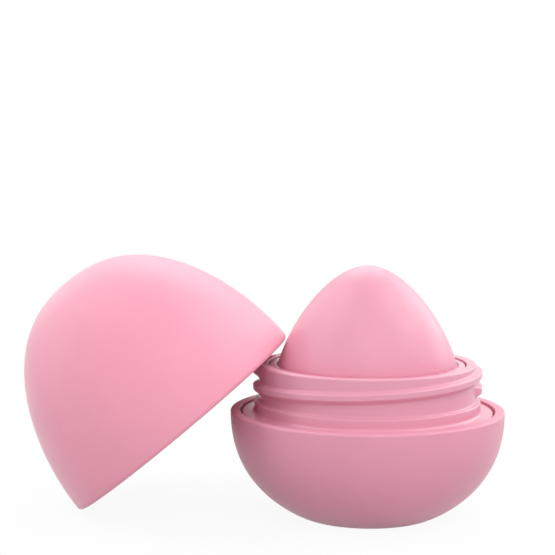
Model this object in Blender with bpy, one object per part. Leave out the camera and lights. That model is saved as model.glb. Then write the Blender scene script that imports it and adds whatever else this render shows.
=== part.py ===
"""Egg-shaped lip balm: a base with a threaded neck and a dome of balm, and its screw cap,
taken off and leaning on the base.

Heights in the base are above the flat foot, which is at z = 0 with the base's axis on the z axis.
Heights in the cap are above the plane of its rim, with the dome upwards, until the cap is laid in place.
"""

import math

import bmesh
import bpy
from mathutils import Matrix

# Turned shapes: facets around the axis and points along the curves
SEGMENTS = 48
BOWL_POINTS = 9
INNER_BOWL_POINTS = 6
DOME_POINTS = 11
INNER_DOME_POINTS = 8
BALM_POINTS = 12
LINER_DOME_POINTS = 7
EDGE_POINTS = 3
SMOOTH_ANGLE = math.radians(35.0)
WELD_DISTANCE = 0.000001

# Fits between pieces
FIT_GAP = 0.0003
CUT_OVERRUN = 0.0010

# Outer form of the egg
BODY_RADIUS = 0.0200
BASE_HEIGHT = 0.0155
FOOT_RADIUS = 0.0100
CAP_HEIGHT = 0.0273
RIM_EDGE_RADIUS = 0.0005
RIM_BEVEL = 0.0002
BOWL_DROP_POWER = 2.3
BOWL_ROUND_POWER = 2.0
DOME_DROP_POWER = 1.885
DOME_ROUND_POWER = 2.32

# Base shell
BASE_RIM_WALL = 0.0014
BASE_WALL = 0.0015
BASE_FLOOR = 0.0016
SEAT_DEPTH = 0.0019
SEAT_WIDTH = 0.0010

# Snap beads and the keys that stop the inserts from turning
SNAP_HEIGHT = 0.0005
SNAP_WIDTH = 0.0012
SNAP_CREST_SHARE = 0.3
BASE_SNAP_DROP = 0.0028
KEY_COUNT = 4
KEY_WIDTH = 0.0016
KEY_HEIGHT = 0.0011
KEY_REACH = 0.0007

# Neck collar
FLANGE_THICKNESS = 0.0013
SKIRT_WALL = 0.0011
SKIRT_LENGTH = 0.0041
SKIRT_LEAD_IN = 0.0003
NECK_RISE = 0.00705
NECK_WALL = 0.0014
NECK_EDGE_RADIUS = 0.0005
NECK_BEVEL = 0.0002
SHOULDER_WIDTH = 0.00065
SHOULDER_HEIGHT = 0.0017
TUBE_WALL = 0.0011
LIP_WIDTH = 0.0012
LIP_THICKNESS = 0.0010

# Thread on the neck and in the cap
THREAD_STARTS = 2
THREAD_LEAD = 0.0045
THREAD_RISE = 0.0034
THREAD_START_ANGLE = math.radians(164.0)
THREAD_SWEEP = math.radians(208.0)
THREAD_HEIGHT = 0.00085
THREAD_ROOT_HALF = 0.0010
THREAD_SIDE_HALF = 0.00062
THREAD_CREST_HALF = 0.0003
THREAD_SIDE_SHARE = 0.7
THREAD_SINK = 0.0004
THREAD_END_STEPS = 2
CAP_THREAD_LAG = math.radians(21.0)
CAP_THREAD_SWEEP = math.radians(122.0)
CAP_THREAD_ROOT_HALF = 0.00075
CAP_THREAD_SIDE_HALF = 0.00035
CAP_THREAD_CREST_HALF = 0.00012

# Balm tray
TRAY_WALL = 0.00085
TRAY_HEIGHT = 0.0079
TRAY_FLOOR = 0.0012
TRAY_RIM_DROP = 0.0002
TRAY_SNAP_HEIGHT = 0.0003
TRAY_SNAP_WIDTH = 0.0010
TRAY_SNAP_RISE = 0.0022
POUR_HOLE_RADIUS = 0.0018
POUR_HOLE_COUNT = 6
POUR_CIRCLE_RADIUS = 0.0078
POUR_HOLE_SIDES = 16

# Balm
BALM_DROP_POWER = 1.25
BALM_ROUND_POWER = 1.83
PEG_DROP = 0.0010

# Cap shell and its liner
CAP_RIM_WALL = 0.0015
CAP_WALL = 0.0015
CAP_BORE_DEPTH = 0.0032
CAP_CLOSED_GAP = 0.0003
LINER_RECESS = 0.0006
LINER_SNAP_RISE = 0.0022
LINER_THREAD_GAP = 0.00035
LINER_BALM_GAP = 0.0006
LINER_NECK_GAP = 0.0006
LINER_WALL = 0.0011
LINER_SKIRT_WALL = 0.00115
LINER_HEADROOM = 0.00345
LINER_CORNER = 0.0007
LINER_BEVEL = 0.0002
LINER_SIDE_POINTS = 3

# How the cap lies: its lean from upright, its swing round the base's axis, and how far behind it stands
CAP_LEAN = math.radians(39.9)
CAP_SWING = math.radians(-4.9)
CAP_SETBACK = 0.0035
LEAN_GAP = 0.00035
MOUTH_GAP = 0.0001
MOUTH_ENTRY = 0.0003

# Levels in the base
SEAT_LEVEL = BASE_HEIGHT - SEAT_DEPTH
FLANGE_UNDERSIDE = SEAT_LEVEL + FIT_GAP
LEDGE_LEVEL = FLANGE_UNDERSIDE + FLANGE_THICKNESS
SHOULDER_LEVEL = LEDGE_LEVEL + SHOULDER_HEIGHT
NECK_TOP = LEDGE_LEVEL + NECK_RISE
TRAY_RIM = NECK_TOP - TRAY_RIM_DROP
TRAY_BOTTOM = TRAY_RIM - TRAY_HEIGHT
TRAY_INSIDE_FLOOR = TRAY_BOTTOM + TRAY_FLOOR
LIP_TOP = TRAY_BOTTOM - FIT_GAP
LIP_UNDERSIDE = LIP_TOP - LIP_THICKNESS
SKIRT_END = FLANGE_UNDERSIDE - SKIRT_LENGTH
PILOT_END = SKIRT_END - FIT_GAP
BASE_SNAP_LEVEL = SEAT_LEVEL - BASE_SNAP_DROP
TRAY_SNAP_LEVEL = TRAY_BOTTOM + TRAY_SNAP_RISE

# Radii in the cap, from the outside in
CAP_BORE_RADIUS = BODY_RADIUS - CAP_RIM_WALL
CAP_INSIDE_RADIUS = BODY_RADIUS - CAP_WALL
LINER_RADIUS = CAP_BORE_RADIUS - FIT_GAP
LINER_BORE_RADIUS = LINER_RADIUS - LINER_SKIRT_WALL

# Radii in the base, whose neck screws into the liner
NECK_RADIUS = LINER_BORE_RADIUS - LINER_THREAD_GAP - THREAD_HEIGHT
BASE_BORE_RADIUS = BODY_RADIUS - BASE_RIM_WALL
PILOT_RADIUS = BASE_BORE_RADIUS - SEAT_WIDTH
FLANGE_RADIUS = BASE_BORE_RADIUS - FIT_GAP
SKIRT_RADIUS = PILOT_RADIUS - FIT_GAP
SKIRT_INSIDE = SKIRT_RADIUS - SKIRT_WALL
SHOULDER_RADIUS = NECK_RADIUS + SHOULDER_WIDTH
NECK_BORE = NECK_RADIUS - NECK_WALL
TUBE_RADIUS = NECK_BORE + TUBE_WALL
LIP_RADIUS = NECK_BORE - LIP_WIDTH
TRAY_RADIUS = NECK_BORE - FIT_GAP
TRAY_INSIDE = TRAY_RADIUS - TRAY_WALL
BALM_RADIUS = TRAY_INSIDE - FIT_GAP
PEG_RADIUS = POUR_HOLE_RADIUS - FIT_GAP
KEY_RADIUS = SKIRT_RADIUS + KEY_REACH

# Levels in the cap, and the liner's dome, which the balm fills but for a gap
CAP_INSIDE_HEIGHT = CAP_HEIGHT - CAP_WALL
CAP_CLOSED_LEVEL = BASE_HEIGHT + CAP_CLOSED_GAP
LINER_WEB_UNDERSIDE = NECK_TOP + LINER_NECK_GAP - CAP_CLOSED_LEVEL
LINER_WEB_TOP = LINER_WEB_UNDERSIDE + LINER_WALL
LINER_DOME_BASE = TRAY_RIM - CAP_CLOSED_LEVEL
LINER_DOME_RADIUS = BALM_RADIUS + LINER_BALM_GAP
LINER_DOME_RISE = CAP_INSIDE_HEIGHT - LINER_HEADROOM - LINER_WALL - LINER_DOME_BASE
BALM_RISE = LINER_DOME_RISE - LINER_BALM_GAP

# The whole depth of the curve that the flat foot cuts short
BOWL_DEPTH = BASE_HEIGHT / (1.0 - (FOOT_RADIUS / BODY_RADIUS) ** BOWL_ROUND_POWER) ** (1.0 / BOWL_DROP_POWER)


def curve_radius(radius, depth, drop_power, round_power, distance):
    """Radius of a rounded end at a distance from its widest level."""
    share = min(max(distance / depth, 0.0), 1.0)
    return radius * (1.0 - share ** drop_power) ** (1.0 / round_power)


def curve_points(radius, depth, powers, start, end, count):
    """Points (radius, distance) of a rounded end, closer together where it turns towards the axis."""
    first = math.asin(min(start / depth, 1.0))
    last = math.asin(min(end / depth, 1.0))
    points = []
    for index in range(count):
        distance = depth * math.sin(first + (last - first) * index / (count - 1))
        points.append((curve_radius(radius, depth, *powers, distance), distance))
    return points


def edge_points(centre_radius, centre_level, radius, start_angle, end_angle):
    """Points of a rounded edge, as an arc in the radius and height plane."""
    points = []
    for index in range(EDGE_POINTS):
        angle = start_angle + (end_angle - start_angle) * index / (EDGE_POINTS - 1)
        points.append((centre_radius + radius * math.cos(angle), centre_level + radius * math.sin(angle)))
    return points


def snap_points(radius, level, height, width):
    """A bead or groove, listed from its upper end to its lower end."""
    half = width / 2.0
    crest = half * SNAP_CREST_SHARE
    return [
        (radius, level + half),
        (radius + height, level + crest),
        (radius + height, level - crest),
        (radius, level - half),
    ]


def make_material(name, colour, roughness):
    material = bpy.data.materials.new(name)
    material.use_nodes = True
    shader = material.node_tree.nodes["Principled BSDF"]
    shader.inputs["Base Color"].default_value = (*colour, 1.0)
    shader.inputs["Roughness"].default_value = roughness
    shader.inputs["Metallic"].default_value = 0.0
    return material


def make_object(name, mesh_builder, material=None):
    """Turn a bmesh into a smooth-shaded object in the scene."""
    mesh = bpy.data.meshes.new(name)
    mesh_builder.to_mesh(mesh)
    mesh_builder.free()
    mesh.shade_smooth()
    mesh.set_sharp_from_angle(angle=SMOOTH_ANGLE)
    thing = bpy.data.objects.new(name, mesh)
    bpy.context.collection.objects.link(thing)
    if material is not None:
        mesh.materials.append(material)
    return thing


def turned(name, outline, material, closed_ring):
    """Turn an outline of (radius, height) points about the z axis into a closed body."""
    body = bmesh.new()
    corners = [body.verts.new((radius, 0.0, height)) for radius, height in outline]
    sides = [body.edges.new(pair) for pair in zip(corners, corners[1:])]
    if closed_ring:
        sides.append(body.edges.new((corners[-1], corners[0])))
    bmesh.ops.spin(
        body,
        geom=corners + sides,
        cent=(0.0, 0.0, 0.0),
        axis=(0.0, 0.0, 1.0),
        angle=math.tau,
        steps=SEGMENTS,
        use_merge=True,
    )
    bmesh.ops.remove_doubles(body, verts=body.verts, dist=WELD_DISTANCE)
    bmesh.ops.recalc_face_normals(body, faces=body.faces)
    return make_object(name, body, material)


def helper(name, body):
    """An object that only takes part in a Boolean."""
    thing = make_object(name, body)
    thing.hide_render = True
    thing.display_type = "WIRE"
    return thing


def combine(thing, other, operation):
    modifier = thing.modifiers.new(other.name, "BOOLEAN")
    modifier.operation = operation
    modifier.object = other
    modifier.solver = "EXACT"


def add_thread_start(body, section, start_angle, sweep, start_level):
    """One helical bead: the section moved along the helix, shrinking to its sunk side at both ends."""
    step_angle = math.tau / SEGMENTS
    steps = round(sweep / step_angle)
    sunk_radius = section[0][0]
    rings = []
    for step in range(steps + 1):
        angle = start_angle + step * step_angle
        level = start_level + THREAD_LEAD * step * step_angle / math.tau
        fade = min(step + 1, steps - step + 1, THREAD_END_STEPS + 1) / (THREAD_END_STEPS + 1)
        ring = []
        for radius, rise in section:
            faded_radius = sunk_radius + (radius - sunk_radius) * math.sqrt(fade)
            place = (faded_radius * math.cos(angle), faded_radius * math.sin(angle), level + rise * fade)
            ring.append(body.verts.new(place))
        rings.append(ring)
    count = len(section)
    for lower, upper in zip(rings, rings[1:]):
        for index in range(count):
            following = (index + 1) % count
            body.faces.new((lower[index], lower[following], upper[following], upper[index]))
    body.faces.new(rings[0])
    body.faces.new(rings[-1])


def thread_helper(name, root_radius, direction, halves, start_angle, sweep, start_level):
    """All starts of a thread, standing out (direction 1) or in (direction -1) from the root radius."""
    root_half, side_half, crest_half = halves
    sunk = root_radius - direction * THREAD_SINK
    side = root_radius + direction * THREAD_HEIGHT * THREAD_SIDE_SHARE
    crest = root_radius + direction * THREAD_HEIGHT
    sunk_half = root_half + (root_half - side_half) * THREAD_SINK / (THREAD_HEIGHT * THREAD_SIDE_SHARE)
    section = [
        (sunk, -sunk_half),
        (side, -side_half),
        (crest, -crest_half),
        (crest, crest_half),
        (side, side_half),
        (sunk, sunk_half),
    ]
    body = bmesh.new()
    for start in range(THREAD_STARTS):
        add_thread_start(body, section, start_angle + start * math.tau / THREAD_STARTS, sweep, start_level)
    bmesh.ops.recalc_face_normals(body, faces=body.faces)
    return helper(name, body)


def key_helper(name, inner_radius, outer_radius, low, high, width):
    """Blocks for the keys of an insert, or for the notches they enter."""
    body = bmesh.new()
    for index in range(KEY_COUNT):
        angle = index * math.tau / KEY_COUNT + math.pi / KEY_COUNT
        block = bmesh.ops.create_cube(body, size=1.0)["verts"]
        bmesh.ops.scale(body, verts=block, vec=(outer_radius - inner_radius, width, high - low))
        middle = ((outer_radius + inner_radius) / 2.0, 0.0, (high + low) / 2.0)
        bmesh.ops.translate(body, verts=block, vec=middle)
        bmesh.ops.rotate(body, verts=block, cent=(0.0, 0.0, 0.0), matrix=Matrix.Rotation(angle, 3, "Z"))
    return helper(name, body)


def peg_helper(name, radius, low, high):
    """Round pegs at the pour holes: one in the middle and a ring of them."""
    body = bmesh.new()
    places = [(0.0, 0.0)]
    for index in range(POUR_HOLE_COUNT):
        angle = index * math.tau / POUR_HOLE_COUNT
        places.append((POUR_CIRCLE_RADIUS * math.cos(angle), POUR_CIRCLE_RADIUS * math.sin(angle)))
    for x, y in places:
        peg = bmesh.ops.create_cone(
            body,
            cap_ends=True,
            segments=POUR_HOLE_SIDES,
            radius1=radius,
            radius2=radius,
            depth=high - low,
        )["verts"]
        bmesh.ops.translate(body, verts=peg, vec=(x, y, (high + low) / 2.0))
    return helper(name, body)


def base_shell(material):
    """Outer bowl with a flat foot, a rounded rim, a seat for the collar and a snap groove."""
    powers = (BOWL_DROP_POWER, BOWL_ROUND_POWER)
    outside = curve_points(BODY_RADIUS, BOWL_DEPTH, powers, RIM_EDGE_RADIUS, BASE_HEIGHT, BOWL_POINTS)
    edge_centre = outside[0][0] - RIM_EDGE_RADIUS
    inside = curve_points(
        BODY_RADIUS - BASE_WALL,
        BOWL_DEPTH - BASE_FLOOR,
        powers,
        BASE_HEIGHT - PILOT_END,
        BASE_HEIGHT - BASE_FLOOR,
        INNER_BOWL_POINTS,
    )
    outline = [(0.0, BASE_FLOOR)]
    outline += [(min(radius, PILOT_RADIUS), BASE_HEIGHT - distance) for radius, distance in reversed(inside)]
    outline += [(PILOT_RADIUS, PILOT_END)]
    outline += reversed(snap_points(PILOT_RADIUS, BASE_SNAP_LEVEL, SNAP_HEIGHT, SNAP_WIDTH))
    outline += [
        (PILOT_RADIUS, SEAT_LEVEL),
        (BASE_BORE_RADIUS, SEAT_LEVEL),
        (BASE_BORE_RADIUS, BASE_HEIGHT - RIM_BEVEL),
        (BASE_BORE_RADIUS + RIM_BEVEL, BASE_HEIGHT),
    ]
    outline += edge_points(edge_centre, BASE_HEIGHT - RIM_EDGE_RADIUS, RIM_EDGE_RADIUS, math.pi / 2.0, 0.0)
    outline += [(radius, BASE_HEIGHT - distance) for radius, distance in outside[1:]]
    outline += [(0.0, 0.0)]
    shell = turned("base_shell", outline, material, closed_ring=False)
    notches = key_helper(
        "base_key_notches",
        PILOT_RADIUS - CUT_OVERRUN,
        KEY_RADIUS + FIT_GAP,
        SEAT_LEVEL - KEY_HEIGHT,
        SEAT_LEVEL + CUT_OVERRUN,
        KEY_WIDTH + 2.0 * FIT_GAP,
    )
    combine(shell, notches, "DIFFERENCE")
    return shell


def neck_collar(material):
    """Ledge, shoulder and threaded neck, with the skirt that snaps into the base shell."""
    outline = [(NECK_BORE + NECK_BEVEL, NECK_TOP)]
    outline += edge_points(
        NECK_RADIUS - NECK_EDGE_RADIUS, NECK_TOP - NECK_EDGE_RADIUS, NECK_EDGE_RADIUS, math.pi / 2.0, 0.0
    )
    outline += [
        (NECK_RADIUS, SHOULDER_LEVEL),
        (SHOULDER_RADIUS - NECK_BEVEL, SHOULDER_LEVEL),
        (SHOULDER_RADIUS, SHOULDER_LEVEL - NECK_BEVEL),
        (SHOULDER_RADIUS, LEDGE_LEVEL),
        (FLANGE_RADIUS - NECK_BEVEL, LEDGE_LEVEL),
        (FLANGE_RADIUS, LEDGE_LEVEL - NECK_BEVEL),
        (FLANGE_RADIUS, FLANGE_UNDERSIDE),
        (SKIRT_RADIUS, FLANGE_UNDERSIDE),
    ]
    outline += snap_points(SKIRT_RADIUS, BASE_SNAP_LEVEL, SNAP_HEIGHT, SNAP_WIDTH)
    outline += [
        (SKIRT_RADIUS, SKIRT_END + SKIRT_LEAD_IN),
        (SKIRT_RADIUS - SKIRT_LEAD_IN, SKIRT_END),
        (SKIRT_INSIDE, SKIRT_END),
        (SKIRT_INSIDE, FLANGE_UNDERSIDE),
        (TUBE_RADIUS, FLANGE_UNDERSIDE),
        (TUBE_RADIUS, LIP_UNDERSIDE),
        (LIP_RADIUS, LIP_UNDERSIDE),
        (LIP_RADIUS, LIP_TOP),
        (NECK_BORE, LIP_TOP),
    ]
    outline += reversed(snap_points(NECK_BORE, TRAY_SNAP_LEVEL, TRAY_SNAP_HEIGHT, TRAY_SNAP_WIDTH))
    outline += [(NECK_BORE, NECK_TOP - NECK_BEVEL)]
    collar = turned("neck_collar", outline, material, closed_ring=True)
    thread = thread_helper(
        "neck_thread",
        NECK_RADIUS,
        1.0,
        (THREAD_ROOT_HALF, THREAD_SIDE_HALF, THREAD_CREST_HALF),
        THREAD_START_ANGLE,
        THREAD_SWEEP,
        LEDGE_LEVEL + THREAD_RISE,
    )
    combine(collar, thread, "UNION")
    keys = key_helper(
        "collar_keys",
        SKIRT_RADIUS - SKIRT_WALL / 2.0,
        KEY_RADIUS,
        FLANGE_UNDERSIDE - KEY_HEIGHT,
        FLANGE_UNDERSIDE + FLANGE_THICKNESS / 2.0,
        KEY_WIDTH,
    )
    combine(collar, keys, "UNION")
    return collar


def balm_tray(material):
    """Cup in the neck that holds the balm, with pour holes in its floor and a snap bead."""
    outline = [
        (0.0, TRAY_INSIDE_FLOOR),
        (TRAY_INSIDE, TRAY_INSIDE_FLOOR),
        (TRAY_INSIDE, TRAY_RIM),
        (TRAY_RADIUS - NECK_BEVEL, TRAY_RIM),
        (TRAY_RADIUS, TRAY_RIM - NECK_BEVEL),
    ]
    outline += snap_points(TRAY_RADIUS, TRAY_SNAP_LEVEL, TRAY_SNAP_HEIGHT, TRAY_SNAP_WIDTH)
    outline += [
        (TRAY_RADIUS, TRAY_BOTTOM + NECK_BEVEL),
        (TRAY_RADIUS - NECK_BEVEL, TRAY_BOTTOM),
        (0.0, TRAY_BOTTOM),
    ]
    tray = turned("balm_tray", outline, material, closed_ring=False)
    holes = peg_helper(
        "pour_holes", POUR_HOLE_RADIUS, TRAY_BOTTOM - CUT_OVERRUN, TRAY_INSIDE_FLOOR + CUT_OVERRUN
    )
    combine(tray, holes, "DIFFERENCE")
    return tray


def lip_balm(material):
    """Egg-shaped dome on a plug that fills the tray, with pegs in the pour holes."""
    floor = TRAY_INSIDE_FLOOR + FIT_GAP
    powers = (BALM_DROP_POWER, BALM_ROUND_POWER)
    dome = curve_points(BALM_RADIUS, BALM_RISE, powers, 0.0, BALM_RISE, BALM_POINTS)
    outline = [(0.0, floor), (BALM_RADIUS, floor)]
    outline += [(radius, TRAY_RIM + distance) for radius, distance in dome]
    balm = turned("lip_balm", outline, material, closed_ring=False)
    pegs = peg_helper("balm_pegs", PEG_RADIUS, floor - PEG_DROP, floor + CUT_OVERRUN)
    combine(balm, pegs, "UNION")
    return balm


def cap_outside():
    """Points of the cap's outer curve, from above its rounded edge to the top."""
    powers = (DOME_DROP_POWER, DOME_ROUND_POWER)
    return curve_points(BODY_RADIUS, CAP_HEIGHT, powers, RIM_EDGE_RADIUS, CAP_HEIGHT, DOME_POINTS)


def cap_edge():
    """Points of the cap's rounded outer edge, from the rim's face outwards."""
    centre = cap_outside()[0][0] - RIM_EDGE_RADIUS
    return edge_points(centre, RIM_EDGE_RADIUS, RIM_EDGE_RADIUS, -math.pi / 2.0, 0.0)


def cap_shell(material):
    """Outer dome of the cap, with a bore and a snap groove for the liner's skirt."""
    powers = (DOME_DROP_POWER, DOME_ROUND_POWER)
    inside = curve_points(
        CAP_INSIDE_RADIUS, CAP_INSIDE_HEIGHT, powers, CAP_BORE_DEPTH, CAP_INSIDE_HEIGHT, INNER_DOME_POINTS
    )
    outline = list(reversed(inside))
    outline += [(CAP_BORE_RADIUS, CAP_BORE_DEPTH)]
    outline += snap_points(CAP_BORE_RADIUS, LINER_SNAP_RISE, SNAP_HEIGHT, SNAP_WIDTH)
    outline += [(CAP_BORE_RADIUS, RIM_BEVEL), (CAP_BORE_RADIUS + RIM_BEVEL, 0.0)]
    outline += cap_edge()
    outline += cap_outside()[1:]
    return turned("cap_shell", outline, material, closed_ring=False)


def cap_liner(material):
    """Inner moulding of the cap: threaded skirt, web over the neck and dome over the balm."""
    balm_powers = (BALM_DROP_POWER, BALM_ROUND_POWER)
    shell_powers = (DOME_DROP_POWER, DOME_ROUND_POWER)
    inner_dome = curve_points(
        LINER_DOME_RADIUS,
        LINER_DOME_RISE,
        balm_powers,
        LINER_WEB_UNDERSIDE - LINER_DOME_BASE,
        LINER_DOME_RISE,
        LINER_DOME_POINTS,
    )
    outer_dome = curve_points(
        LINER_DOME_RADIUS + LINER_WALL,
        LINER_DOME_RISE + LINER_WALL,
        balm_powers,
        LINER_WEB_TOP - LINER_DOME_BASE,
        LINER_DOME_RISE + LINER_WALL,
        LINER_DOME_POINTS,
    )
    side = curve_points(
        CAP_INSIDE_RADIUS, CAP_INSIDE_HEIGHT, shell_powers, CAP_BORE_DEPTH, LINER_WEB_TOP, LINER_SIDE_POINTS
    )
    outline = [(radius, LINER_DOME_BASE + distance) for radius, distance in reversed(inner_dome)]
    outline += [
        (LINER_BORE_RADIUS - LINER_CORNER, LINER_WEB_UNDERSIDE),
        (LINER_BORE_RADIUS, LINER_WEB_UNDERSIDE - LINER_CORNER),
        (LINER_BORE_RADIUS, LINER_RECESS + LINER_BEVEL),
        (LINER_BORE_RADIUS + LINER_BEVEL, LINER_RECESS),
        (LINER_RADIUS - LINER_BEVEL, LINER_RECESS),
        (LINER_RADIUS, LINER_RECESS + LINER_BEVEL),
    ]
    outline += reversed(snap_points(LINER_RADIUS, LINER_SNAP_RISE, SNAP_HEIGHT, SNAP_WIDTH))
    outline += [(radius - FIT_GAP, distance) for radius, distance in side]
    outline += [(radius, LINER_DOME_BASE + distance) for radius, distance in outer_dome]
    liner = turned("cap_liner", outline, material, closed_ring=False)
    closed_start = LEDGE_LEVEL + THREAD_RISE + THREAD_LEAD * CAP_THREAD_LAG / math.tau
    thread = thread_helper(
        "cap_thread",
        LINER_BORE_RADIUS,
        -1.0,
        (CAP_THREAD_ROOT_HALF, CAP_THREAD_SIDE_HALF, CAP_THREAD_CREST_HALF),
        THREAD_START_ANGLE + CAP_THREAD_LAG,
        CAP_THREAD_SWEEP,
        closed_start - THREAD_LEAD / (2.0 * THREAD_STARTS) - CAP_CLOSED_LEVEL,
    )
    combine(liner, thread, "UNION")
    return liner, thread


def lean_place():
    """Where the cap's rim centre lies when its edge stands on the floor and leans on the balm.

    A corner of the base that faces the open mouth may reach a little into it, and any other stays clear of it.
    """
    lean_sin = math.sin(CAP_LEAN)
    lean_cos = math.cos(CAP_LEAN)
    rise = max(radius * lean_sin - height * lean_cos for radius, height in cap_edge() + cap_outside())
    places = []
    for radius, height in cap_edge():
        level = rise + radius * lean_sin + height * lean_cos
        side = radius * lean_cos - height * lean_sin
        balm_radius = curve_radius(
            BALM_RADIUS, BALM_RISE, BALM_DROP_POWER, BALM_ROUND_POWER, level - TRAY_RIM
        )
        setback = CAP_SETBACK + side * math.sin(CAP_SWING)
        reach = math.sqrt((balm_radius + LEAN_GAP) ** 2 - setback ** 2)
        places.append(-reach - side * math.cos(CAP_SWING))
    thread_top = LEDGE_LEVEL + THREAD_RISE + THREAD_LEAD * THREAD_SWEEP / math.tau + THREAD_CREST_HALF
    base_corners = [
        (NECK_RADIUS + THREAD_HEIGHT, thread_top),
        (NECK_RADIUS, NECK_TOP),
        (BODY_RADIUS, BASE_HEIGHT),
    ]
    mouth_height = (LINER_BORE_RADIUS - THREAD_HEIGHT) * lean_sin
    for radius, level in base_corners:
        clearance = -MOUTH_ENTRY if level - rise < mouth_height else MOUTH_GAP
        reach = radius * lean_sin + (level - rise) * lean_cos + clearance
        reach += CAP_SETBACK * lean_sin * math.sin(CAP_SWING)
        places.append(-reach / (lean_sin * math.cos(CAP_SWING)))
    return (min(places), CAP_SETBACK, rise)


def lay_cap_down(pieces):
    """Lean the cap on the base, with its dome up and away from the base."""
    placement = bpy.data.objects.new("cap_placement", None)
    bpy.context.collection.objects.link(placement)
    for piece in pieces:
        piece.parent = placement
    placement.location = lean_place()
    placement.rotation_euler = (0.0, -CAP_LEAN, CAP_SWING)


def main():
    for thing in list(bpy.data.objects):
        bpy.data.objects.remove(thing, do_unlink=True)
    matte_pink = make_material("matte_pink", (0.86, 0.42, 0.53), 0.5)
    gloss_pink = make_material("gloss_pink", (0.84, 0.40, 0.51), 0.22)
    tray_pink = make_material("tray_pink", (0.85, 0.45, 0.55), 0.25)
    balm_pink = make_material("balm_pink", (0.87, 0.42, 0.53), 0.38)
    base_shell(matte_pink)
    neck_collar(gloss_pink)
    balm_tray(tray_pink)
    lip_balm(balm_pink)
    shell = cap_shell(matte_pink)
    liner, liner_thread = cap_liner(gloss_pink)
    lay_cap_down([shell, liner, liner_thread])


main()
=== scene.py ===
"""Looks of an egg-shaped lip balm whose screw cap is off and leans on the balm.

Every piece is turned again at a fine resolution, with its moulded edges rounded and its thread smooth,
and gets its own procedural material. Lengths are in metres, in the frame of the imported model.
"""

import math

import bpy
import numpy as np
from mathutils import Matrix, Vector


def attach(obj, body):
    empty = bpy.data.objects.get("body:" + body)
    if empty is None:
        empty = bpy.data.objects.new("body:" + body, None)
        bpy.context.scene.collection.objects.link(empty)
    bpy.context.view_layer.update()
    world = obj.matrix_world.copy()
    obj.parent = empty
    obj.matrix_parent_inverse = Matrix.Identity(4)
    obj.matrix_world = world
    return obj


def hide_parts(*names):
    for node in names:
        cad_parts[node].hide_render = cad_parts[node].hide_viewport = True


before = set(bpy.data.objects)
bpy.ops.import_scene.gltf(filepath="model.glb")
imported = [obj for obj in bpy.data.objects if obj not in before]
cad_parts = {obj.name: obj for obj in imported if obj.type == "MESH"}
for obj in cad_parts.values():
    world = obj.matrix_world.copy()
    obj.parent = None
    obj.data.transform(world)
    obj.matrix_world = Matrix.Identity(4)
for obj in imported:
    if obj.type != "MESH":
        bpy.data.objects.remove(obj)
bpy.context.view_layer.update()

# Fineness of the turned pieces. A rounding takes up at most the reach share of each side that it joins.
SEGMENTS = 288
CURVE_STEPS = 56
OUTSIDE_STEPS = 112
HIDDEN_STEPS = 28
SHORT_STEPS = 14
ARC_STEPS = 6
ARC_REACH_SHARE = 0.49
THREAD_ROWS = 84
SMOOTH_ANGLE = math.radians(50.0)
WELD_DISTANCE = 0.000001

# Sizes of the construction that the fine pieces repeat
FIT_GAP = 0.0003
BODY_RADIUS = 0.0200
BASE_HEIGHT = 0.0155
FOOT_RADIUS = 0.0100
CAP_HEIGHT = 0.0273
BOWL_POWERS = (2.3, 2.0)
DOME_POWERS = (1.885, 2.32)
BALM_POWERS = (1.25, 1.83)
BASE_RIM_WALL = 0.0014
BASE_WALL = 0.0015
BASE_FLOOR = 0.0016
SEAT_DEPTH = 0.0019
SEAT_WIDTH = 0.0010
SNAP_HEIGHT = 0.0005
SNAP_WIDTH = 0.0012
BASE_SNAP_DROP = 0.0028
FLANGE_THICKNESS = 0.0013
SKIRT_WALL = 0.0011
SKIRT_LENGTH = 0.0041
NECK_RADIUS = 0.01585
NECK_RISE = 0.00705
NECK_WALL = 0.0014
SHOULDER_WIDTH = 0.00065
SHOULDER_HEIGHT = 0.0017
TUBE_WALL = 0.0011
LIP_WIDTH = 0.0012
LIP_THICKNESS = 0.0010
TRAY_WALL = 0.00085
TRAY_HEIGHT = 0.0079
TRAY_FLOOR = 0.0012
TRAY_RIM_DROP = 0.0002
BALM_RISE = 0.0144
CAP_RIM_WALL = 0.0015
CAP_WALL = 0.0015
CAP_BORE_DEPTH = 0.0032
CAP_CLOSED_GAP = 0.0003
LINER_RECESS = 0.0006
LINER_SNAP_RISE = 0.0022
LINER_THREAD_GAP = 0.00035
LINER_BALM_GAP = 0.0006
LINER_NECK_GAP = 0.0006
LINER_WALL = 0.0011
LINER_CORNER = 0.0007
CAP_LEAN = math.radians(39.9)
CAP_SWING = math.radians(-4.9)

# Thread
THREAD_STARTS = 2
THREAD_LEAD = 0.0045
THREAD_RISE = 0.0034
THREAD_START_ANGLE = math.radians(164.0)
THREAD_SWEEP = math.radians(208.0)
THREAD_HEIGHT = 0.00085
THREAD_ROOT_HALVES = (0.00115, 0.0008)
THREAD_CREST_HALF = 0.0003
THREAD_BLUNT_END = math.radians(3.0)
THREAD_FADING_END = math.radians(14.0)
CAP_THREAD_LAG = math.radians(21.0)
CAP_THREAD_SWEEP = math.radians(122.0)
CAP_THREAD_ROOT_HALVES = (0.00075, 0.00075)
CAP_THREAD_CREST_HALF = 0.00012

# Rounded edges of the mouldings. The cap's side starts above its rim by a share of the rim's rounding, and
# the foot's rounding takes the place of the bowl's last points.
RIM_ROUND = 0.0005
CAP_RIM_ROUND = 0.0008
CAP_SIDE_START_SHARE = 1.6
RIM_INNER_ROUND = 0.00022
FOOT_ROUND = 0.0040
FOOT_POINTS_REPLACED = 4
NECK_ROUND = 0.0003
NECK_INNER_ROUND = 0.00022
SMALL_ROUND = 0.00015
LEDGE_ROUND = 0.0002
ROOT_ROUND = 0.0005
SHOULDER_ROUND = 0.0003
TRAY_SEAM = 0.00018

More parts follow.
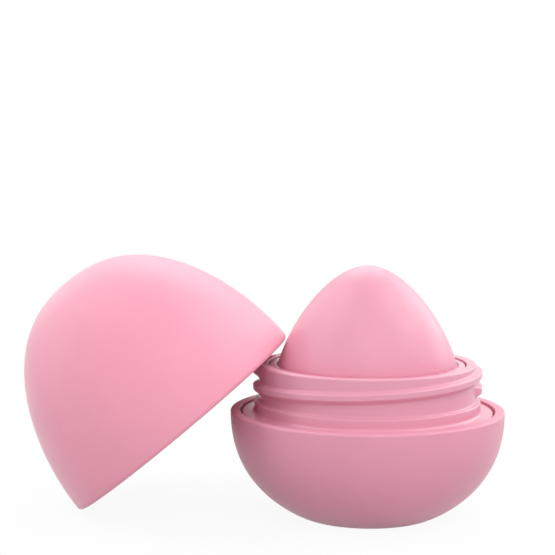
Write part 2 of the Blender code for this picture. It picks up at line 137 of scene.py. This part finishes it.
# Thin pool of balm that closes the gap to the tray: its outline's levels, in drops below the tray's rim
POOL_DROP = 0.00012
POOL_LEVELS = (4.0, 3.0, 2.0, 1.0)

# Levels and radii
SEAT_LEVEL = BASE_HEIGHT - SEAT_DEPTH
FLANGE_UNDERSIDE = SEAT_LEVEL + FIT_GAP
LEDGE_LEVEL = FLANGE_UNDERSIDE + FLANGE_THICKNESS
SHOULDER_LEVEL = LEDGE_LEVEL + SHOULDER_HEIGHT
NECK_TOP = LEDGE_LEVEL + NECK_RISE
TRAY_RIM = NECK_TOP - TRAY_RIM_DROP
TRAY_BOTTOM = TRAY_RIM - TRAY_HEIGHT
TRAY_INSIDE_FLOOR = TRAY_BOTTOM + TRAY_FLOOR
LIP_TOP = TRAY_BOTTOM - FIT_GAP
LIP_UNDERSIDE = LIP_TOP - LIP_THICKNESS
SKIRT_END = FLANGE_UNDERSIDE - SKIRT_LENGTH
PILOT_END = SKIRT_END - FIT_GAP
BASE_SNAP_LEVEL = SEAT_LEVEL - BASE_SNAP_DROP
BASE_BORE_RADIUS = BODY_RADIUS - BASE_RIM_WALL
PILOT_RADIUS = BASE_BORE_RADIUS - SEAT_WIDTH
FLANGE_RADIUS = BASE_BORE_RADIUS - FIT_GAP
SKIRT_RADIUS = PILOT_RADIUS - FIT_GAP
SKIRT_INSIDE = SKIRT_RADIUS - SKIRT_WALL
SHOULDER_RADIUS = NECK_RADIUS + SHOULDER_WIDTH
NECK_BORE = NECK_RADIUS - NECK_WALL
TUBE_RADIUS = NECK_BORE + TUBE_WALL
LIP_RADIUS = NECK_BORE - LIP_WIDTH
TRAY_RADIUS = NECK_BORE - TRAY_SEAM
TRAY_INSIDE = NECK_BORE - FIT_GAP - TRAY_WALL
BALM_RADIUS = TRAY_INSIDE - FIT_GAP
CAP_BORE_RADIUS = BODY_RADIUS - CAP_RIM_WALL
CAP_INSIDE_RADIUS = BODY_RADIUS - CAP_WALL
CAP_INSIDE_HEIGHT = CAP_HEIGHT - CAP_WALL
LINER_RADIUS = CAP_BORE_RADIUS - FIT_GAP
CAP_CLOSED_LEVEL = BASE_HEIGHT + CAP_CLOSED_GAP
LINER_BORE_RADIUS = NECK_RADIUS + THREAD_HEIGHT + LINER_THREAD_GAP
LINER_WEB_UNDERSIDE = NECK_TOP + LINER_NECK_GAP - CAP_CLOSED_LEVEL
LINER_WEB_TOP = LINER_WEB_UNDERSIDE + LINER_WALL
LINER_DOME_BASE = TRAY_RIM - CAP_CLOSED_LEVEL
LINER_DOME_RADIUS = BALM_RADIUS + LINER_BALM_GAP
LINER_DOME_RISE = BALM_RISE + LINER_BALM_GAP
BOWL_DEPTH = BASE_HEIGHT / (1.0 - (FOOT_RADIUS / BODY_RADIUS) ** BOWL_POWERS[1]) ** (1.0 / BOWL_POWERS[0])

# Camera: place, downward pitch, lens and sensor in millimetres, and the nearest distance that it sees
CAMERA_PLACE = (-0.01312, -0.2067, 0.05397)
CAMERA_PITCH = math.radians(5.33)
CAMERA_LENS = 92.54
CAMERA_SENSOR = 36.0
CAMERA_NEAR = 0.01

# Floor and world. Within the first shadow reach a share of the floor is seen as plain white, and beyond the
# second all of it.
FLOOR_HALF = 3.0
FLOOR_TONE = (0.6, 0.59, 0.595, 1.0)
FLOOR_TONE_SEEN = (0.95, 0.95, 0.95, 1.0)
FLOOR_ROUGHNESS = 0.9
WHITE_NEAR_SHARE = 0.93
SHADOW_REACH = (0.05, 0.25)
WORLD_FILL = 0.06

# Softboxes over and round the object: where each stands and its power in watts
SOFTBOX_SIZE = 0.40
LIGHT_AIM = (-0.01, 0.0, 0.02)
SOFTBOXES = {
    "front": ((0.0, -0.45, 0.43), 1.26),
    "front_right": ((0.32, -0.38, 0.36), 0.88),
    "front_left": ((-0.32, -0.38, 0.36), 0.12),
    "front_low": ((0.0, -0.62, 0.14), 0.43),
    "back": ((0.0, 0.40, 0.47), 1.08),
    "left": ((-0.60, 0.0, 0.16), 0.64),
    "left_back": ((-0.42, 0.34, 0.30), 0.66),
    "left_top": ((-0.38, 0.0, 0.48), 0.82),
    "right_back": ((0.42, 0.34, 0.30), 1.06),
    "right_top": ((0.38, 0.0, 0.48), 1.14),
}
UNREFLECTED = ("front", "front_right", "front_left", "front_low")


def curve_radius(radius, depth, powers, distance):
    """Radius of a rounded end at a distance from its widest level."""
    share = min(max(distance / depth, 0.0), 1.0)
    return radius * (1.0 - share ** powers[0]) ** (1.0 / powers[1])


def curve(radius, depth, powers, start, end, steps=CURVE_STEPS):
    """Points (radius, distance) of a rounded end, closer together where it turns towards the axis."""
    first = math.asin(min(start / depth, 1.0))
    last = math.asin(min(end / depth, 1.0))
    distances = [depth * math.sin(first + (last - first) * index / steps) for index in range(steps + 1)]
    return [(curve_radius(radius, depth, powers, distance), distance) for distance in distances]


def rounded(corners):
    """Outline points from (radius, height, rounding) corners. Each rounding touches both of its sides."""
    points = []
    for index, (radius, height, rounding) in enumerate(corners):
        if rounding <= 0.0 or index in (0, len(corners) - 1):
            points.append((radius, height))
            continue
        here = Vector((radius, height))
        back = Vector(corners[index - 1][:2]) - here
        ahead = Vector(corners[index + 1][:2]) - here
        half_angle = back.angle(ahead) / 2.0
        longest = ARC_REACH_SHARE * min(back.length, ahead.length)
        reach = min(rounding / math.tan(half_angle), longest)
        start = here + back.normalized() * reach
        end = here + ahead.normalized() * reach
        for step in range(ARC_STEPS + 1):
            share = step / ARC_STEPS
            bend = (1.0 - share) ** 2 * start + 2.0 * share * (1.0 - share) * here + share ** 2 * end
            points.append((bend.x, bend.y))
    return points


def plain(points):
    """Corners without rounding."""
    return [(radius, height, 0.0) for radius, height in points]


def snap_corners(radius, level, height):
    """A snap bead or groove with soft flanks, from its upper end to its lower end."""
    half = SNAP_WIDTH / 2.0
    return [
        (radius, level + half, SMALL_ROUND),
        (radius + height, level, SMALL_ROUND * 2.0),
        (radius, level - half, SMALL_ROUND),
    ]


def smooth_step(share):
    """Rise from 0 to 1 with level ends, by the cubic 3 s² - 2 s³."""
    share = np.clip(share, 0.0, 1.0)
    return share * share * (3.0 - 2.0 * share)


def bead_height(angle, height, root_halves, crest_half, start_angle, sweep, start_level):
    """How far a thread of round-flanked helical beads stands out at each angle and height."""
    half_below, half_above = root_halves
    bump = np.zeros(np.broadcast(angle, height).shape)
    for start in range(THREAD_STARTS):
        along = (angle - start_angle - start * math.tau / THREAD_STARTS) % math.tau
        centre = start_level + THREAD_LEAD * along / math.tau
        above = smooth_step((centre + half_above - height) / (half_above - crest_half))
        below = smooth_step((height - centre + half_below) / (half_below - crest_half))
        ends = smooth_step(along / THREAD_BLUNT_END) * smooth_step((sweep - along) / THREAD_FADING_END)
        bump = np.maximum(bump, above * below * ends)
    return THREAD_HEIGHT * bump


def add_mesh(name, vertices, faces, material):
    mesh = bpy.data.meshes.new(name)
    mesh.from_pydata(vertices, [], faces)
    mesh.validate()
    mesh.shade_smooth()
    mesh.set_sharp_from_angle(angle=SMOOTH_ANGLE)
    mesh.materials.append(material)
    piece = bpy.data.objects.new(name, mesh)
    bpy.context.collection.objects.link(piece)
    return piece


def turned(name, outline, material, closed_ring=False, change=None):
    """Turn an outline of (radius, height) points about z. change(angle, radius, height) may move them."""
    points = np.array(outline)
    keep = np.ones(len(points), bool)
    keep[1:] = np.hypot(*np.diff(points, axis=0).T) > WELD_DISTANCE
    points = points[keep]
    angles = np.arange(SEGMENTS) * math.tau / SEGMENTS
    radius = np.repeat(points[:, 0][:, None], SEGMENTS, axis=1)
    height = np.repeat(points[:, 1][:, None], SEGMENTS, axis=1)
    if change is not None:
        radius, height = change(angles[None, :], radius, height)
    rows = len(points)
    grid = np.stack([radius * np.cos(angles), radius * np.sin(angles), height], axis=2)
    vertices = []
    index = np.zeros((rows, SEGMENTS), int)
    for row in range(rows):
        if points[row, 0] < WELD_DISTANCE:
            index[row] = len(vertices)
            vertices.append((0.0, 0.0, float(height[row].mean())))
        else:
            index[row] = np.arange(SEGMENTS) + len(vertices)
            vertices.extend(map(tuple, grid[row].tolist()))
    faces = []
    pairs = list(zip(range(rows - 1), range(1, rows)))
    if closed_ring:
        pairs.append((rows - 1, 0))
    for upper, lower in pairs:
        for column in range(SEGMENTS):
            following = (column + 1) % SEGMENTS
            places = ((upper, column), (lower, column), (lower, following), (upper, following))
            face = list(dict.fromkeys(int(index[corner]) for corner in places))
            if len(face) > 2:
                faces.append(face)
    return add_mesh(name, vertices, faces, material)


def place(piece, body, node):
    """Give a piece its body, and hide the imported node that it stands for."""
    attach(piece, body)
    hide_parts(node)


# Materials. Noise from the low to the high limit covers a surface's whole range of tint and of gloss.

NOISE_LOW = 0.3
NOISE_HIGH = 0.7
NOISE_DETAILS = {"cloud": 3.0, "patch": 5.0, "fine": 4.0, "wave": 1.0}

SOFT_GRAIN = {
    "cloud_scale": 90.0,
    "cloud_spread": 0.02,
    "patch_scale": 260.0,
    "patch_spread": 0.03,
    "fine_scale": 9000.0,
    "fine_strength": 0.25,
    "fine_depth": 0.00001,
    "wave_scale": 120.0,
    "wave_strength": 0.15,
    "wave_depth": 0.0001,
}
GLOSS_GRAIN = {
    "cloud_scale": 70.0,
    "cloud_spread": 0.012,
    "patch_scale": 200.0,
    "patch_spread": 0.03,
    "fine_scale": 2600.0,
    "fine_strength": 0.12,
    "fine_depth": 0.00001,
    "wave_scale": 240.0,
    "wave_strength": 0.12,
    "wave_depth": 0.0001,
}
WAX_GRAIN = {
    "cloud_scale": 160.0,
    "cloud_spread": 0.02,
    "patch_scale": 420.0,
    "patch_spread": 0.06,
    "fine_scale": 1800.0,
    "fine_strength": 0.12,
    "fine_depth": 0.00003,
    "wave_scale": 110.0,
    "wave_strength": 0.3,
    "wave_depth": 0.0002,
}

SHEEN_TINT = (1.0, 0.86, 0.93, 1.0)

# Each material's colour, mean roughness, grain and other settings of its shader
FINISHES = {
    "cap_soft_touch": {
        "colour": (0.93, 0.365, 0.485),
        "roughness": 0.46,
        "grain": SOFT_GRAIN,
        "settings": {
            "Sheen Weight": 0.6,
            "Sheen Roughness": 0.4,
            "Sheen Tint": SHEEN_TINT,
            "Specular IOR Level": 0.5,
        },
    },
    "base_satin": {
        "colour": (0.83, 0.345, 0.46),
        "roughness": 0.42,
        "grain": SOFT_GRAIN,
        "settings": {
            "Sheen Weight": 0.15,
            "Sheen Roughness": 0.4,
            "Sheen Tint": SHEEN_TINT,
            "Specular IOR Level": 0.4,
        },
    },
    "collar_gloss": {
        "colour": (0.825, 0.368, 0.48),
        "roughness": 0.32,
        "grain": GLOSS_GRAIN,
        "settings": {"Coat Weight": 0.25, "Coat Roughness": 0.2, "Specular IOR Level": 0.5},
    },
    "tray_gloss": {
        "colour": (0.80, 0.375, 0.485),
        "roughness": 0.24,
        "grain": GLOSS_GRAIN,
        "settings": {"Coat Weight": 0.3, "Coat Roughness": 0.12, "Specular IOR Level": 0.5},
    },
    "balm_wax": {
        "colour": (0.86, 0.379, 0.495),
        "roughness": 0.34,
        "grain": WAX_GRAIN,
        "settings": {
            "Subsurface Weight": 0.25,
            "Subsurface Radius": (1.0, 0.55, 0.6),
            "Subsurface Scale": 0.002,
            "Coat Weight": 0.08,
            "Coat Roughness": 0.2,
            "Specular IOR Level": 0.32,
        },
    },
    "liner_gloss": {
        "colour": (0.80, 0.35, 0.465),
        "roughness": 0.25,
        "grain": GLOSS_GRAIN,
        "settings": {"Coat Weight": 0.25, "Coat Roughness": 0.12, "Specular IOR Level": 0.5},
    },
}


def surface_material(name, colour, roughness, grain, settings):
    """Principled surface with soft colour and gloss variation and a fine moulded grain."""
    material = bpy.data.materials.new(name)
    material.use_nodes = True
    nodes = material.node_tree.nodes
    links = material.node_tree.links
    shader = nodes["Principled BSDF"]
    where = nodes.new("ShaderNodeTexCoord")

    def noise(kind):
        texture = nodes.new("ShaderNodeTexNoise")
        texture.inputs["Scale"].default_value = grain[kind + "_scale"]
        texture.inputs["Detail"].default_value = NOISE_DETAILS[kind]
        links.new(where.outputs["Object"], texture.inputs["Vector"])
        return texture.outputs["Fac"]

    def bump(kind):
        relief = nodes.new("ShaderNodeBump")
        relief.inputs["Strength"].default_value = grain[kind + "_strength"]
        relief.inputs["Distance"].default_value = grain[kind + "_depth"]
        links.new(noise(kind), relief.inputs["Height"])
        return relief

    tint = nodes.new("ShaderNodeValToRGB")
    spread = grain["cloud_spread"]
    darker, lighter = tint.color_ramp.elements
    darker.position = NOISE_LOW
    lighter.position = NOISE_HIGH
    darker.color = (*[channel * (1.0 - spread) for channel in colour], 1.0)
    lighter.color = (*[min(channel * (1.0 + spread), 1.0) for channel in colour], 1.0)
    links.new(noise("cloud"), tint.inputs["Fac"])
    links.new(tint.outputs["Color"], shader.inputs["Base Color"])

    gloss = nodes.new("ShaderNodeMapRange")
    gloss.inputs["From Min"].default_value = NOISE_LOW
    gloss.inputs["From Max"].default_value = NOISE_HIGH
    gloss.inputs["To Min"].default_value = roughness - grain["patch_spread"]
    gloss.inputs["To Max"].default_value = roughness + grain["patch_spread"]
    links.new(noise("patch"), gloss.inputs["Value"])
    links.new(gloss.outputs["Result"], shader.inputs["Roughness"])

    fine = bump("fine")
    wave = bump("wave")
    links.new(fine.outputs["Normal"], wave.inputs["Normal"])
    links.new(wave.outputs["Normal"], shader.inputs["Normal"])

    for socket, value in settings.items():
        shader.inputs[socket].default_value = value
    return material


# Pieces of the base


def make_base_shell(material):
    outside = curve(BODY_RADIUS, BOWL_DEPTH, BOWL_POWERS, RIM_ROUND, BASE_HEIGHT)
    inside = curve(
        BODY_RADIUS - BASE_WALL, BOWL_DEPTH - BASE_FLOOR, BOWL_POWERS,
        BASE_HEIGHT - PILOT_END, BASE_HEIGHT - BASE_FLOOR, HIDDEN_STEPS,
    )
    corners = [(0.0, BASE_FLOOR, 0.0)]
    corners += plain((min(radius, PILOT_RADIUS), BASE_HEIGHT - drop) for radius, drop in reversed(inside))
    corners += [(PILOT_RADIUS, PILOT_END, 0.0)]
    corners += reversed(snap_corners(PILOT_RADIUS, BASE_SNAP_LEVEL, SNAP_HEIGHT))
    corners += [
        (PILOT_RADIUS, SEAT_LEVEL, SMALL_ROUND),
        (BASE_BORE_RADIUS, SEAT_LEVEL, SMALL_ROUND),
        (BASE_BORE_RADIUS, BASE_HEIGHT, RIM_INNER_ROUND),
        (BODY_RADIUS, BASE_HEIGHT, RIM_ROUND),
    ]
    corners += plain((radius, BASE_HEIGHT - drop) for radius, drop in outside[1:-FOOT_POINTS_REPLACED])
    corners += [(outside[-1][0], 0.0, FOOT_ROUND), (0.0, 0.0, 0.0)]
    piece = turned("base_shell_fine", rounded(corners), material)
    place(piece, "base", "base_shell")


def make_neck_collar(material):
    wall_top = NECK_TOP - NECK_ROUND
    wall = [
        (NECK_RADIUS, wall_top + (SHOULDER_LEVEL + ROOT_ROUND - wall_top) * row / THREAD_ROWS)
        for row in range(THREAD_ROWS + 1)
    ]
    head = rounded([
        (NECK_BORE, NECK_TOP - NECK_ROUND, 0.0),
        (NECK_BORE, NECK_TOP, NECK_INNER_ROUND),
        (NECK_RADIUS, NECK_TOP, NECK_ROUND),
        (NECK_RADIUS, NECK_TOP - 2.0 * NECK_ROUND, 0.0),
    ])[:-1]
    foot = rounded(
        [
            (NECK_RADIUS, SHOULDER_LEVEL + 2.0 * ROOT_ROUND, 0.0),
            (NECK_RADIUS, SHOULDER_LEVEL, SHOULDER_ROUND),
            (SHOULDER_RADIUS, SHOULDER_LEVEL, SHOULDER_ROUND),
            (SHOULDER_RADIUS, LEDGE_LEVEL, ROOT_ROUND),
            (FLANGE_RADIUS, LEDGE_LEVEL, LEDGE_ROUND),
            (FLANGE_RADIUS, FLANGE_UNDERSIDE, SMALL_ROUND),
            (SKIRT_RADIUS, FLANGE_UNDERSIDE, SMALL_ROUND),
        ]
        + snap_corners(SKIRT_RADIUS, BASE_SNAP_LEVEL, SNAP_HEIGHT)
        + [
            (SKIRT_RADIUS, SKIRT_END, RIM_INNER_ROUND),
            (SKIRT_INSIDE, SKIRT_END, RIM_INNER_ROUND),
            (SKIRT_INSIDE, FLANGE_UNDERSIDE, 0.0),
            (TUBE_RADIUS, FLANGE_UNDERSIDE, 0.0),
            (TUBE_RADIUS, LIP_UNDERSIDE, SMALL_ROUND),
            (LIP_RADIUS, LIP_UNDERSIDE, SMALL_ROUND),
            (LIP_RADIUS, LIP_TOP, SMALL_ROUND),
            (NECK_BORE, LIP_TOP, SMALL_ROUND),
            (NECK_BORE, LIP_TOP + NECK_ROUND, 0.0),
        ]
    )[1:]
    outline = head + wall + foot

    def thread(angle, radius, height):
        on_wall = np.abs(radius - NECK_RADIUS) < NECK_ROUND
        bump = bead_height(
            angle, height, THREAD_ROOT_HALVES, THREAD_CREST_HALF, THREAD_START_ANGLE, THREAD_SWEEP,
            LEDGE_LEVEL + THREAD_RISE,
        )
        above = height > SHOULDER_LEVEL
        return radius + np.where(on_wall & above, bump, 0.0), height

    piece = turned("neck_collar_fine", outline, material, closed_ring=True, change=thread)
    place(piece, "base", "neck_collar")


def make_balm_tray(material):
    corners = [
        (0.0, TRAY_INSIDE_FLOOR, 0.0),
        (TRAY_INSIDE, TRAY_INSIDE_FLOOR, RIM_INNER_ROUND),
        (TRAY_INSIDE, TRAY_RIM, SMALL_ROUND),
        (TRAY_RADIUS, TRAY_RIM, RIM_INNER_ROUND),
        (TRAY_RADIUS, TRAY_BOTTOM, RIM_INNER_ROUND),
        (0.0, TRAY_BOTTOM, 0.0),
    ]
    piece = turned("balm_tray_fine", rounded(corners), material)
    place(piece, "base", "balm_tray")


def make_lip_balm(material):
    floor = TRAY_INSIDE_FLOOR + FIT_GAP
    pool = [TRAY_RIM - drops * POOL_DROP for drops in POOL_LEVELS]
    corners = [
        (0.0, floor, 0.0),
        (BALM_RADIUS, floor, RIM_INNER_ROUND),
        (BALM_RADIUS, pool[0], 0.0),
        (TRAY_INSIDE, pool[1], 0.0),
        (TRAY_INSIDE, pool[2], 0.0),
        (BALM_RADIUS, pool[3], POOL_DROP),
    ]
    dome = curve(BALM_RADIUS, BALM_RISE, BALM_POWERS, 0.0, BALM_RISE, OUTSIDE_STEPS)
    corners += plain((radius, TRAY_RIM + rise) for radius, rise in dome)
    piece = turned("lip_balm_fine", rounded(corners), material)
    place(piece, "base", "lip_balm")


# Pieces of the cap


def cap_matrix():
    """Where the cap lies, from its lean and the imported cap's own extent across and along its axis."""
    turn = Matrix.Rotation(CAP_SWING, 4, "Z") @ Matrix.Rotation(-CAP_LEAN, 4, "Y")
    points = np.array([tuple(vertex.co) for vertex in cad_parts["cap_shell"].data.vertices])
    local = points @ np.array(turn.to_3x3())
    low = local.min(axis=0)
    high = local.max(axis=0)
    rim_centre = Vector(((low[0] + high[0]) / 2.0, (low[1] + high[1]) / 2.0, low[2]))
    return Matrix.Translation(turn @ rim_centre) @ turn


def lay(piece, matrix):
    piece.data.transform(matrix)
    piece.data.update()


def make_cap_shell(material, matrix):
    inside = curve(CAP_INSIDE_RADIUS, CAP_INSIDE_HEIGHT, DOME_POWERS, CAP_BORE_DEPTH, CAP_INSIDE_HEIGHT)
    side_start = CAP_SIDE_START_SHARE * CAP_RIM_ROUND
    outside = curve(BODY_RADIUS, CAP_HEIGHT, DOME_POWERS, side_start, CAP_HEIGHT, OUTSIDE_STEPS)
    corners = plain(reversed(inside))
    corners += [(CAP_BORE_RADIUS, CAP_BORE_DEPTH, 0.0)]
    corners += snap_corners(CAP_BORE_RADIUS, LINER_SNAP_RISE, SNAP_HEIGHT)
    corners += [(CAP_BORE_RADIUS, 0.0, RIM_INNER_ROUND), (BODY_RADIUS, 0.0, CAP_RIM_ROUND)]
    corners += plain(outside[1:])
    piece = turned("cap_shell_fine", rounded(corners), material)
    lay(piece, matrix)
    place(piece, "cap", "cap_shell")


def make_cap_liner(material, matrix):
    inner_dome = curve(
        LINER_DOME_RADIUS, LINER_DOME_RISE, BALM_POWERS,
        LINER_WEB_UNDERSIDE - LINER_DOME_BASE, LINER_DOME_RISE,
    )
    outer_dome = curve(
        LINER_DOME_RADIUS + LINER_WALL, LINER_DOME_RISE + LINER_WALL, BALM_POWERS,
        LINER_WEB_TOP - LINER_DOME_BASE, LINER_DOME_RISE + LINER_WALL,
    )
    side = curve(
        CAP_INSIDE_RADIUS, CAP_INSIDE_HEIGHT, DOME_POWERS, CAP_BORE_DEPTH, LINER_WEB_TOP, SHORT_STEPS
    )
    bore_top = LINER_WEB_UNDERSIDE - LINER_CORNER
    bore = [
        (LINER_BORE_RADIUS, bore_top + (LINER_RECESS + RIM_INNER_ROUND - bore_top) * row / THREAD_ROWS)
        for row in range(THREAD_ROWS + 1)
    ]
    head = [(radius, LINER_DOME_BASE + rise) for radius, rise in reversed(inner_dome)]
    head += [(LINER_BORE_RADIUS - LINER_CORNER, LINER_WEB_UNDERSIDE)]
    foot = rounded(
        [
            (LINER_BORE_RADIUS, LINER_RECESS + 2.0 * RIM_INNER_ROUND, 0.0),
            (LINER_BORE_RADIUS, LINER_RECESS, RIM_INNER_ROUND),
            (LINER_RADIUS, LINER_RECESS, RIM_INNER_ROUND),
        ]
        + snap_corners(LINER_RADIUS, LINER_SNAP_RISE, SNAP_HEIGHT)[::-1]
        + plain((radius - FIT_GAP, rise) for radius, rise in side)
        + plain((radius, LINER_DOME_BASE + rise) for radius, rise in outer_dome)
    )[1:]

    # With the cap on, its thread runs midway between two beads of the neck's thread
    neck_start = LEDGE_LEVEL + THREAD_RISE + THREAD_LEAD * CAP_THREAD_LAG / math.tau
    start_level = neck_start - THREAD_LEAD / (2.0 * THREAD_STARTS) - CAP_CLOSED_LEVEL

    def thread(angle, radius, height):
        on_bore = (np.abs(radius - LINER_BORE_RADIUS) < WELD_DISTANCE) & (height <= bore_top)
        bump = bead_height(
            angle, height, CAP_THREAD_ROOT_HALVES, CAP_THREAD_CREST_HALF,
            THREAD_START_ANGLE + CAP_THREAD_LAG, CAP_THREAD_SWEEP, start_level,
        )
        return radius - np.where(on_bore, bump, 0.0), height

    piece = turned("cap_liner_fine", head + bore + foot, material, change=thread)
    lay(piece, matrix)
    place(piece, "cap", "cap_liner")


# Stage, lights and camera


def seen_share(nodes, links):
    """The ray node, and a share of 1 for camera, glossy and transmission rays and 0 for other rays."""
    rays = nodes.new("ShaderNodeLightPath")
    shares = rays.outputs["Is Camera Ray"]
    for ray in ("Is Glossy Ray", "Is Transmission Ray"):
        either = nodes.new("ShaderNodeMath")
        either.operation = "MAXIMUM"
        links.new(shares, either.inputs[0])
        links.new(rays.outputs[ray], either.inputs[1])
        shares = either.outputs["Value"]
    return rays, shares


def floor_material():
    """Pale floor that is seen as white, with the shadow left in it round the object."""
    material = bpy.data.materials.new("pale_floor")
    material.use_nodes = True
    nodes = material.node_tree.nodes
    links = material.node_tree.links
    shader = nodes["Principled BSDF"]
    shader.inputs["Roughness"].default_value = FLOOR_ROUGHNESS
    shader.inputs["Specular IOR Level"].default_value = 0.0
    rays, seen = seen_share(nodes, links)
    tone = nodes.new("ShaderNodeMix")
    tone.data_type = "RGBA"
    tone.inputs["A"].default_value = FLOOR_TONE
    tone.inputs["B"].default_value = FLOOR_TONE_SEEN
    links.new(rays.outputs["Is Camera Ray"], tone.inputs["Factor"])
    links.new(tone.outputs["Result"], shader.inputs["Base Color"])
    where = nodes.new("ShaderNodeNewGeometry")
    distance = nodes.new("ShaderNodeVectorMath")
    distance.operation = "LENGTH"
    links.new(where.outputs["Position"], distance.inputs[0])
    share = nodes.new("ShaderNodeMapRange")
    share.interpolation_type = "SMOOTHSTEP"
    share.inputs["From Min"].default_value = SHADOW_REACH[0]
    share.inputs["From Max"].default_value = SHADOW_REACH[1]
    share.inputs["To Min"].default_value = WHITE_NEAR_SHARE
    share.inputs["To Max"].default_value = 1.0
    links.new(distance.outputs["Value"], share.inputs["Value"])
    seen_glow = nodes.new("ShaderNodeMath")
    seen_glow.operation = "MULTIPLY"
    links.new(seen, seen_glow.inputs[0])
    links.new(share.outputs["Result"], seen_glow.inputs[1])
    glow = nodes.new("ShaderNodeEmission")
    mix = nodes.new("ShaderNodeMixShader")
    links.new(seen_glow.outputs["Value"], mix.inputs["Fac"])
    links.new(shader.outputs["BSDF"], mix.inputs[1])
    links.new(glow.outputs["Emission"], mix.inputs[2])
    links.new(mix.outputs["Shader"], nodes["Material Output"].inputs["Surface"])
    return material


def make_floor():
    half = FLOOR_HALF
    corners = [(-half, -half, 0.0), (half, -half, 0.0), (half, half, 0.0), (-half, half, 0.0)]
    mesh = bpy.data.meshes.new("floor")
    mesh.from_pydata(corners, [], [(0, 1, 2, 3)])
    mesh.materials.append(floor_material())
    floor = bpy.data.objects.new("floor", mesh)
    bpy.context.collection.objects.link(floor)


def make_world():
    """White where the camera and reflections look, and a faint even fill for everything else."""
    world = bpy.data.worlds.new("studio")
    bpy.context.scene.world = world
    world.use_nodes = True
    nodes = world.node_tree.nodes
    links = world.node_tree.links
    background = nodes["Background"]
    background.inputs["Color"].default_value = (1.0, 1.0, 1.0, 1.0)
    seen = seen_share(nodes, links)[1]
    strength = nodes.new("ShaderNodeMapRange")
    strength.inputs["To Min"].default_value = WORLD_FILL
    strength.inputs["To Max"].default_value = 1.0
    links.new(seen, strength.inputs["Value"])
    links.new(strength.outputs["Result"], background.inputs["Strength"])


def make_lights():
    for name, (place_at, power) in SOFTBOXES.items():
        light = bpy.data.lights.new(name + "_softbox", "AREA")
        light.shape = "SQUARE"
        light.size = SOFTBOX_SIZE
        light.energy = power
        lamp = bpy.data.objects.new(name + "_softbox", light)
        lamp.location = place_at
        lamp.rotation_euler = (Vector(LIGHT_AIM) - Vector(place_at)).to_track_quat("-Z", "Y").to_euler()
        lamp.visible_glossy = name not in UNREFLECTED
        bpy.context.collection.objects.link(lamp)


def make_camera():
    camera_data = bpy.data.cameras.new("camera")
    camera_data.lens = CAMERA_LENS
    camera_data.sensor_width = CAMERA_SENSOR
    camera_data.clip_start = CAMERA_NEAR
    camera = bpy.data.objects.new("camera", camera_data)
    camera.location = CAMERA_PLACE
    camera.rotation_euler = (math.pi / 2.0 - CAMERA_PITCH, 0.0, 0.0)
    bpy.context.collection.objects.link(camera)
    bpy.context.scene.camera = camera


materials = {name: surface_material(name, **finish) for name, finish in FINISHES.items()}
make_base_shell(materials["base_satin"])
make_neck_collar(materials["collar_gloss"])
make_balm_tray(materials["tray_gloss"])
make_lip_balm(materials["balm_wax"])
cap_place = cap_matrix()
make_cap_shell(materials["cap_soft_touch"], cap_place)
make_cap_liner(materials["liner_gloss"], cap_place)
make_floor()
make_world()
make_lights()
make_camera()
bpy.context.scene.view_settings.view_transform = "Standard"
